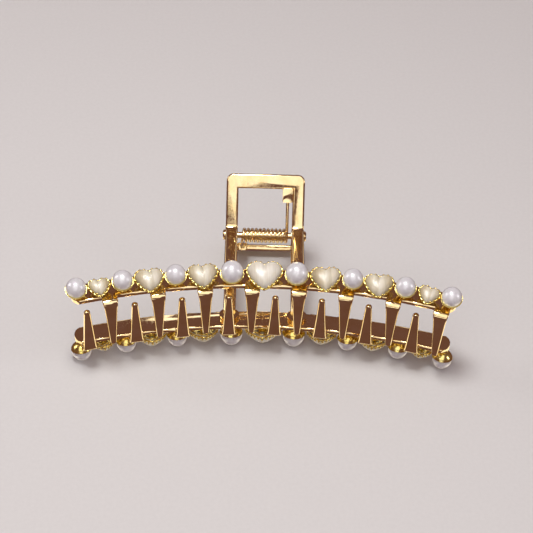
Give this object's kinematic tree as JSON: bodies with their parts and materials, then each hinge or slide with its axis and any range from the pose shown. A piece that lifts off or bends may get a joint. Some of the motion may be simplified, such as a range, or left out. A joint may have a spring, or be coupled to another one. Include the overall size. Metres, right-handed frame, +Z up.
{
  "type": "claw hair clip",
  "caption": "Sprung metal claw clip with two bowed toothed jaws, open rectangular handles, pearls and heart-shaped cat's eye stones.",
  "frame": {"origin": "bottom centre of the whole clip's box, on the surface it lies on", "axes": "+X along the hinge pin and the jaws' length, -Y out of the mouth, +Z up from the lower jaw to the upper"},
  "size_m": [0.1116, 0.0503, 0.0336],
  "materials": {
    "gold": "polished light gold plating",
    "pin_gold": "polished light gold plating",
    "spring_wire": "gold-plated spring steel wire",
    "pearl": "soft pearl lustre",
    "cats_eye": "polished cream cat's eye, slightly translucent"
  },
  "bodies": {
    "lower_jaw": {"hinge_pin": "pin_gold", "lower_comb": "gold", "lower_handle": "gold", "lower_heart_setting_1": "gold", "lower_heart_setting_2": "gold", "lower_heart_setting_3": "gold", "lower_heart_setting_4": "gold", "lower_heart_setting_5": "gold", "lower_heart_setting_6": "gold", "lower_heart_setting_7": "gold", "lower_heart_stone_1": "cats_eye", "lower_heart_stone_2": "cats_eye", "lower_heart_stone_3": "cats_eye", "lower_heart_stone_4": "cats_eye", "lower_heart_stone_5": "cats_eye", "lower_heart_stone_6": "cats_eye", "lower_heart_stone_7": "cats_eye", "lower_pearl_1": "pearl", "lower_pearl_2": "pearl", "lower_pearl_3": "pearl", "lower_pearl_4": "pearl", "lower_pearl_5": "pearl", "lower_pearl_6": "pearl", "lower_pearl_7": "pearl", "lower_pearl_8": "pearl", "lower_pearl_cups": "gold", "torsion_spring": "spring_wire"},
    "upper_jaw": {"upper_comb": "gold", "upper_handle": "gold", "upper_heart_setting_1": "gold", "upper_heart_setting_2": "gold", "upper_heart_setting_3": "gold", "upper_heart_setting_4": "gold", "upper_heart_setting_5": "gold", "upper_heart_setting_6": "gold", "upper_heart_setting_7": "gold", "upper_heart_stone_1": "cats_eye", "upper_heart_stone_2": "cats_eye", "upper_heart_stone_3": "cats_eye", "upper_heart_stone_4": "cats_eye", "upper_heart_stone_5": "cats_eye", "upper_heart_stone_6": "cats_eye", "upper_heart_stone_7": "cats_eye", "upper_pearl_1": "pearl", "upper_pearl_2": "pearl", "upper_pearl_3": "pearl", "upper_pearl_4": "pearl", "upper_pearl_5": "pearl", "upper_pearl_6": "pearl", "upper_pearl_7": "pearl", "upper_pearl_8": "pearl", "upper_pearl_cups": "gold"}
  },
  "joints": [
    {"name": "jaw_hinge", "type": "hinge", "parent": "lower_jaw", "child": "upper_jaw", "pos_m": [0, 0.01473, 0.0168], "axis": [-1, 0, 0], "range_deg": [0, 80], "stiffness_Nm_per_rad": 0.05, "springref_deg": -51.57, "deforming": ["torsion_spring"]}
  ]
}
